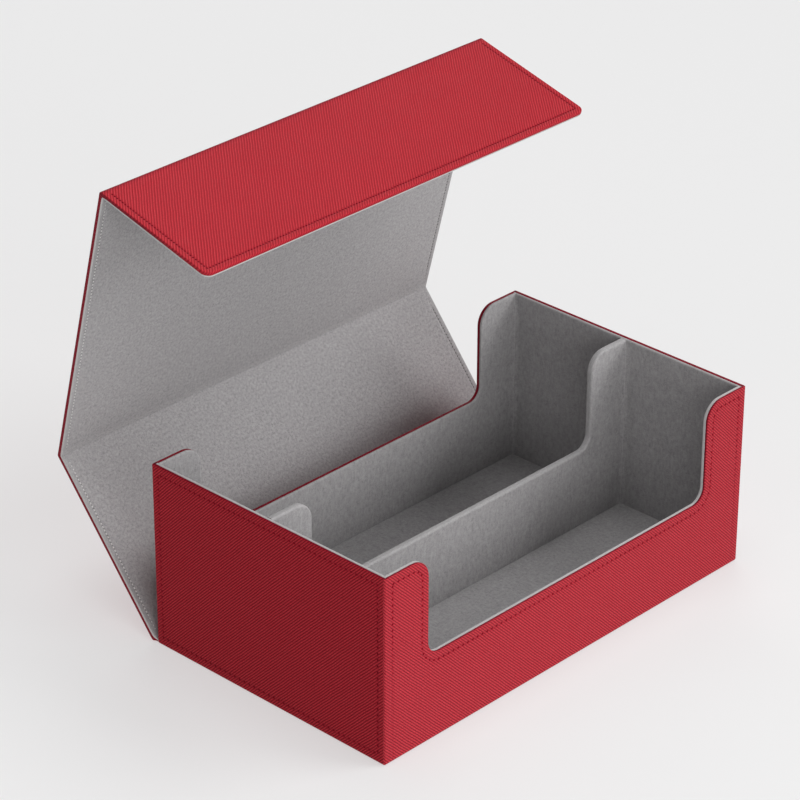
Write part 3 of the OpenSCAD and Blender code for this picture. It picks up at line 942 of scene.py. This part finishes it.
def flap_skin(leather):
    w = W2
    T = COVER_T
    if leather:
        r = 0.5
        rings = [(d, 0.0) for d in reversed(FLAP_D)] + [(1.6, 0.0)]
        rings += [(r - r * math.sin(math.radians(t)), r - r * math.cos(math.radians(t))) for t in range(0, 91, 15)]
        rings += [(0.0, T - 1.15), (0.12, T - 1.03), (0.5, T - 1.02), (0.62, 0.9), (0.9, LT)]
    else:
        r = 0.55
        q = 0.06
        rings = [(d, T) for d in reversed(FLAP_D)] + [(1.6, T)]
        rings += [(q + r - r * math.sin(math.radians(t)), T - r + r * math.cos(math.radians(t))) for t in range(0, 91, 18)]
        rings += [(q, T - 0.95), (q + 0.4, T - 0.99), (q + 0.9, T - LT)]
    path0 = flap_path(rings[0][0], w)
    n, J = len(path0), len(rings)
    uvn, edge = [], []
    for d, dep in rings:
        for x, y in flap_path(d, w):
            uvn.append((x, y, dep))
            if leather:
                # painted shade: the turned side faces are painted fully darker and the front edge partly, as they lie
                # in shade
                side_face = abs(abs(x) - (CX - d)) < 0.05 and y < LC - 6
                edge.append(float(np.clip((dep - 0.1) / 0.3, 0, 1)) * (1.0 if side_face else 0.35) if d < 0.6 else 0.0)
            else:
                edge.append(0.9 * float(np.clip(1.15 - d / 0.6, 0, 1)) if d < 0.7 else 0.0)
    faces = []
    for j in range(J - 1):
        for i in range(n - 1):
            faces.append((j * n + i, j * n + i + 1, (j + 1) * n + i + 1, (j + 1) * n + i))
    last = (J - 1) * n
    faces.append(list(range(n)))
    faces.append([last + i for i in range(n - 1, -1, -1)])
    faces.append([j * n for j in range(J)] + [j * n + n - 1 for j in range(J - 1, -1, -1)])
    uvn = np.array(uvn)
    spath = [p for p in flap_path(ROW_FLAP, w)]
    dist = seg_dist(uvn[:, :2], [(spath[0][0], w + 0.3)] + spath[1:-1] + [(spath[-1][0], w + 0.3)])
    if leather:
        dep = uvn[:, 2] + np.where(uvn[:, 2] < 0.01, sink(dist, 0.16), 0.0)
    else:
        dep = uvn[:, 2] - np.where(uvn[:, 2] > T - 0.01, sink(dist, 0.25, 1.2), 0.0)
    verts = []
    for (x, y, _), dd in zip(uvn, dep):
        p = line(P2, DC, y, -H2 + dd)
        verts.append((x, p[0], p[1]))
    lip = np.minimum(uvn[:, 2], 1.5) if leather else T - uvn[:, 2]
    flat = np.column_stack([uvn[:, 0], SC - w + uvn[:, 1] + (lip if leather else 0), uvn[:, 2] * 0])
    name = "flap_leather_skin" if leather else "flap_lining_skin"
    if leather:
        edge = with_channel_painted_shade(dist, edge, uvn[:, 2] < 0.01, 0.42)
    ob = make(name, verts, faces, flat, edge, [M_COVER_PAINTED_LIGHT if leather else M_LINING], sharp=60)
    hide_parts("flap_leather" if leather else "flap_lining")
    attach(ob, "front_flap")


# ------------------------------------------------ stitches
def resample(path, pitch):
    """Evenly spaced points and directions along an open polyline."""
    path = np.asarray(path, float)
    seg = np.linalg.norm(np.diff(path, axis=0), axis=1)
    total = seg.sum()
    n = max(1, int(round(total / pitch)))
    step = total / n
    cumlen = np.concatenate([[0], np.cumsum(seg)])
    out = []
    for i in range(n + 1):
        s = min(i * step, total - 1e-9)
        k = min(int(np.searchsorted(cumlen, s, side="right")) - 1, len(seg) - 1)
        t = (s - cumlen[k]) / max(seg[k], 1e-9)
        out.append(path[k] + t * (path[k + 1] - path[k]))
    return np.array(out), step


def stitch_rows(name, rows, mats, node, body, radius=0.30, dish=0.12, hole=0.58, gap=1.0, pitch=PITCH):
    """Separate thread stitches with a needle hole between each two. rows: (path, point function, sheet side sign).
    The point function takes (u, v, height above the leather's face) to a place in mm."""
    verts, faces, flat, edge, mi = [], [], [], [], []
    rnd = random.Random(name)
    SEG, RING = 8, 6
    for path, place in rows:
        pts, step = resample(path, pitch)
        for a, b in zip(pts[:-1], pts[1:]):
            d = b - a
            L = float(np.linalg.norm(d))
            d = d / L
            c = np.array([-d[1], d[0]])
            p0, p1 = a + d * gap / 2, b - d * gap / 2
            jit = rnd.uniform(-0.05, 0.05)
            base = len(verts)
            for r in range(RING + 1):
                t = r / RING
                mid = p0 + (p1 - p0) * t + c * jit
                lift = 0.22 * math.sin(math.pi * t) - 0.12        # the stitch arches out of its holes
                rr = radius * (0.55 + 0.45 * math.sin(math.pi * t) ** 0.5)
                for q in range(SEG):
                    an = 2 * math.pi * q / SEG
                    off = c * math.cos(an) * rr
                    h = lift - 0.10 - radius * 0.85 + math.sin(an) * rr * 0.85
                    verts.append(place(mid[0] + off[0], mid[1] + off[1], h))
                    flat.append((t * L + rr * an, an, base * 0.01))
                    edge.append(0.0)
            for r in range(RING):
                for q in range(SEG):
                    i0 = base + r * SEG + q
                    i1 = base + r * SEG + (q + 1) % SEG
                    faces.append((i0, i1, i1 + SEG, i0 + SEG)); mi.append(0)
            faces.append([base + q for q in range(SEG)][::-1]); mi.append(0)
            faces.append([base + RING * SEG + q for q in range(SEG)]); mi.append(0)
        for p_i, p in enumerate(pts):
            nb = pts[min(p_i + 1, len(pts) - 1)] - pts[max(p_i - 1, 0)]
            d = nb / max(np.linalg.norm(nb), 1e-9)
            c = np.array([-d[1], d[0]])
            base = len(verts)
            # a small dished eyelet, pulled down in its middle; its dark colour is painted shade
            for (k, h) in ((1.0, 0.030), (0.72, 0.018)):
                for q in range(10):
                    an = 2 * math.pi * q / 10
                    o = d * math.cos(an) * hole * 1.15 * k + c * math.sin(an) * hole * k
                    perp = abs(math.sin(an)) * hole * k
                    verts.append(place(p[0] + o[0], p[1] + o[1], h - float(sink(np.array([perp]), dish)[0])))
                    flat.append((o[0], o[1], p_i * 0.3)); edge.append(0.0)
            verts.append(place(p[0], p[1], 0.008 - dish)); flat.append((0, 0, p_i * 0.3)); edge.append(0.0)
            for q in range(10):
                i0, i1 = base + q, base + (q + 1) % 10
                faces.append((i0, i1, i1 + 10, i0 + 10)); mi.append(1)
                faces.append((i0 + 10, i1 + 10, base + 20)); mi.append(1)
            verts.append(place(p[0], p[1], -0.50)); flat.append((0, 0, 0)); edge.append(0.0)
            bot = len(verts) - 1
            for q in range(10):
                faces.append((base + (q + 1) % 10, base + q, bot)); mi.append(1)
    ob = make(name, verts, faces, flat, edge, mats, mi, sharp=80)
    if node:
        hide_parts(node)
    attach(ob, body)
    return ob


# ---------------------------------------------------------------- build the object
front_path = long_leather("front_leather_skin", 1, "front_leather", CUT_FRONT, 1.25)
back_path = long_leather("back_leather_skin", -1, "back_leather", CUT_INNER, 1.75)
end_path = end_leather("left_end_leather_skin", -1, "left_end_leather", 1.45)
end_leather("right_end_leather_skin", 1, "right_end_leather", 2.0)
long_lining("front_lining_skin", 1, "front_lining", CUT_FRONT, 1.25, 0.62)
long_lining("back_lining_skin", -1, "back_lining", CUT_INNER, 1.75, 0.12)
end_lining("left_end_lining_skin", -1, "left_end_lining", 1.45, 0.68)
end_lining("right_end_lining_skin", 1, "right_end_lining", 2.0, 0.42)
divider_lining()
floor_pads()

stitch_rows("front_wall_stitches", [(front_path, lambda u, v, h: wall_point(u, v, -h, 1))], [M_THREAD, M_HOLE_PAINTED_SHADE], "front_wall_thread", "tray")
stitch_rows("back_wall_stitches", [(back_path, lambda u, v, h: wall_point(u, v, -h, -1))], [M_THREAD, M_HOLE_PAINTED_SHADE], "back_wall_thread", "tray")
stitch_rows("left_end_stitches", [(end_path, lambda u, v, h: (-(HX + h), -u, v))], [M_THREAD_END_PAINTED_SHADE, M_HOLE_PAINTED_SHADE], "left_end_thread", "tray")
stitch_rows("right_end_stitches", [(end_path, lambda u, v, h: (HX + h, -u, v))], [M_THREAD_END_PAINTED_SHADE, M_HOLE_PAINTED_SHADE], "right_end_thread", "tray")


# base sheet under the tray
def base_sheet():
    x, y0, y1 = HX - 0.75, -HY + 0.75, HY - 0.3
    lev = [(0.12, 0.0), (0.0, 0.12), (0.0, 0.45), (0.1, LT)]
    verts, flat, edge, faces = [], [], [], []
    for d, z in lev:
        for px, py in ((-x + d, y0 + d), (x - d, y0 + d), (x - d, y1), (-x + d, y1)):
            verts.append((px, py, z)); flat.append((px, py - y1 - W0, 0)); edge.append(0.0)
    for j in range(len(lev) - 1):
        for i in range(4):
            faces.append((j * 4 + i, j * 4 + (i + 1) % 4, (j + 1) * 4 + (i + 1) % 4, (j + 1) * 4 + i))
    faces += [(3, 2, 1, 0), (12, 13, 14, 15)]
    ob = make("base_leather_sheet", verts, faces, flat, edge, [M_COVER_PAINTED_LIGHT])
    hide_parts("base_leather")
    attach(ob, "tray")


base_sheet()


def ease(t):
    t = min(max(t, 0.0), 1.0)
    return t * t * (3 - 2 * t)


never = lambda s: 0.0
rear_chan = window(s0[-1] - 0.5, s_rear[10] + 0.6)
top_chan = window(s_rear[-1] - 0.8, s_top[14] + 0.4)
s_crease = s_rear[10 + 7]                # the middle of the fold between the rear and top panels
weave_pair("hinge", out0, in0, s0, never, ("tray", "rear_panel"),
           blend_points(P0 + np.array([0.0, -0.3]), D0, DA, 1.1), (), (), M_LINING_REAR_PAINTED_LIGHT,
           halves=[HX - 0.75 + (CX - HX + 0.75) * ease((i - 2) / (len(out0) - 3)) for i in range(len(out0))])
# painted shade: the rear panel lining is painted darker from the middle of its crease with the top panel onwards
weave_pair("rear_panel", rear_o, rear_i, s_rear, rear_chan, ("rear_panel", "top_panel"),
           blend_points(P1, DA, DB, 1.7), ("rear_panel_leather", "rear_top_fold"), ("rear_panel_lining",), M_LINING_REAR_PAINTED_LIGHT,
           fold_painted_shade=(None, lambda s: 0.10 * ease((s - s_crease + 0.9) / 0.9)))
# painted shade: the top panel leather is painted darker along the outer roll of the flap fold, and its lining darker
# next to the crease with the rear panel
weave_pair("top_panel", top_o, top_i, s_top, top_chan, ("top_panel", "front_flap"),
           blend_points(P2, DB, DC, 1.7), ("top_panel_leather", "top_flap_fold"), ("top_panel_lining",), M_LINING,
           fold_painted_shade=(lambda s: 0.80 * math.exp(-(max(abs(s - s_top[22]) - 1.3, 0.0) / 0.55) ** 2), lambda s: 0.10 * math.exp(-max(s - s_top[0], 0.0) / 9.0)))
flap_skin(True)
flap_skin(False)


def on_panel(P, d, sign):
    """sign -1: outside, +1: inside. v is the distance from the fold axis."""
    def place(u, v, h):
        p = line(P, d, v, sign * (H2 + h))
        return (u, p[0], p[1])
    return place


XS = CX - ROW_COVER
def sides(a, b):
    return [[(-XS, a), (-XS, b)], [(XS, a), (XS, b)]]


rows_a = sides(W0 + 0.6, LA - W1 - 0.4)
rows_b = sides(W1 + 0.4, LB - W2 - 0.4)
stitch_rows("rear_panel_stitches", [(p, on_panel(P0, DA, -1)) for p in rows_a], [M_THREAD, M_HOLE_COVER_PAINTED_SHADE], "rear_panel_thread", "rear_panel", radius=0.22, hole=0.44, gap=0.85, pitch=PITCH_COVER)
stitch_rows("top_panel_stitches", [(p, on_panel(P1, DB, -1)) for p in rows_b], [M_THREAD, M_HOLE_COVER_PAINTED_SHADE], "top_panel_thread", "top_panel", radius=0.22, hole=0.44, gap=0.85, pitch=PITCH_COVER)
flap_row = flap_path(ROW_FLAP, W2)
flap_row = [(flap_row[0][0], W2 + 0.3)] + flap_row[1:-1] + [(flap_row[-1][0], W2 + 0.3)]
stitch_rows("flap_stitches", [(flap_row, on_panel(P2, DC, -1))], [M_THREAD, M_HOLE_COVER_PAINTED_SHADE], "flap_thread", "front_flap", radius=0.22, dish=0.16, hole=0.46, gap=0.85, pitch=PITCH_COVER)
# the same rows come through on the inside
stitch_rows("rear_panel_inner_stitches_left", [(rows_a[0], on_panel(P0, DA, 1))], [M_THREAD_PALE, M_HOLE_SOFT_PAINTED_SHADE], None, "rear_panel", radius=0.27, dish=0.22, hole=0.30, gap=0.6, pitch=PITCH_COVER)
stitch_rows("rear_panel_inner_stitches_right", [(rows_a[1], on_panel(P0, DA, 1))], [M_THREAD_GREY, M_HOLE_GREY_PAINTED_SHADE], None, "rear_panel", radius=0.24, dish=0.22, hole=0.38, gap=0.7, pitch=PITCH_COVER)
stitch_rows("top_panel_inner_stitches_left", [(rows_b[0], on_panel(P1, DB, 1))], [M_THREAD_PALE, M_HOLE_SOFT_PAINTED_SHADE], None, "top_panel", radius=0.27, dish=0.22, hole=0.30, gap=0.6, pitch=PITCH_COVER)
stitch_rows("top_panel_inner_stitches_right", [(rows_b[1], on_panel(P1, DB, 1))], [M_THREAD_GREY, M_HOLE_GREY_PAINTED_SHADE], None, "top_panel", radius=0.24, dish=0.22, hole=0.38, gap=0.7, pitch=PITCH_COVER)
stitch_rows("flap_inner_stitches", [(flap_row, on_panel(P2, DC, 1))], [M_THREAD_GREY, M_HOLE_GREY_PAINTED_SHADE], None, "front_flap", radius=0.24, dish=0.25, hole=0.38, gap=0.7, pitch=PITCH_COVER)

# CAD pieces that stay: boards and magnets
for n, o in frame["nodes"].items():
    if n.endswith("_board") or n.endswith("_magnets"):
        m = M_BOARD if n.endswith("_board") else M_MAGNET
        o.data.materials.clear()
        o.data.materials.append(m)

# ---------------------------------------------------------------- floor and light
def floor():
    me = bpy.data.meshes.new("floor")
    s = 14.0
    me.from_pydata([(-s, -s, -0.0003), (s, -s, -0.0003), (s, s, -0.0003), (-s, s, -0.0003)], [], [(0, 1, 2, 3)])
    ob = bpy.data.objects.new("floor", me)
    scene.collection.objects.link(ob)
    m, nt, b = new_material("floor")
    b.inputs["Base Color"].default_value = (0.370, 0.377, 0.377, 1)
    b.inputs["Emission Color"].default_value = (1.0, 0.985, 0.988, 1)
    b.inputs["Emission Strength"].default_value = 0.498
    b.inputs["Roughness"].default_value = 0.9
    b.inputs["Specular IOR Level"].default_value = 0.1
    me.materials.append(m)


floor()
world = bpy.data.worlds.new("world")
scene.world = world
world.use_nodes = True
bg = world.node_tree.nodes.get("Background") or world.node_tree.nodes.new("ShaderNodeBackground")
bg.inputs["Color"].default_value = (1.0, 1.0, 1.0, 1)
bg.inputs["Strength"].default_value = 0.06


def area(name, loc, target, size, power, color=(1, 1, 1)):
    d = bpy.data.lights.new(name, "AREA")
    d.shape = "DISK"
    d.size = size
    d.energy = power
    d.color = color
    o = bpy.data.objects.new(name, d)
    o.visible_camera = False
    o.location = loc
    v = Vector(target) - Vector(loc)
    o.rotation_mode = "QUATERNION"
    o.rotation_quaternion = v.to_track_quat("-Z", "Y")
    scene.collection.objects.link(o)


def sun(name, az, el, strength):
    d = bpy.data.lights.new(name, "SUN")
    d.angle = math.radians(40)
    d.energy = strength
    o = bpy.data.objects.new(name, d)
    o.rotation_mode = "QUATERNION"
    o.rotation_quaternion = (-heading(az, el)).to_track_quat("-Z", "Y")
    scene.collection.objects.link(o)


def heading(az, el):
    """Unit vector towards a light; az from the front towards the right, el above the floor, in degrees."""
    a, e = math.radians(az), math.radians(el)
    return Vector((math.sin(a) * math.cos(e), -math.cos(a) * math.cos(e), math.sin(e)))


def softbox(name, az, el, power):
    area(name, heading(az, el) * 2.0 + Vector((0, 0, 0.08)), (0, 0, 0.08), 1.3, power)


sun("ceiling", 0, 90, 1.028)
sun("front_right_key", 45, 30, 1.689)
sun("rear_right_fill", 135, 30, 0.790)
sun("left_fill", 270, 30, 0.235)
softbox("front_left_low", -30, 15, 11.2)
softbox("front_low", 0, 15, 9.2)
scene.view_settings.view_transform = "Standard"
scene.view_settings.look = "None"
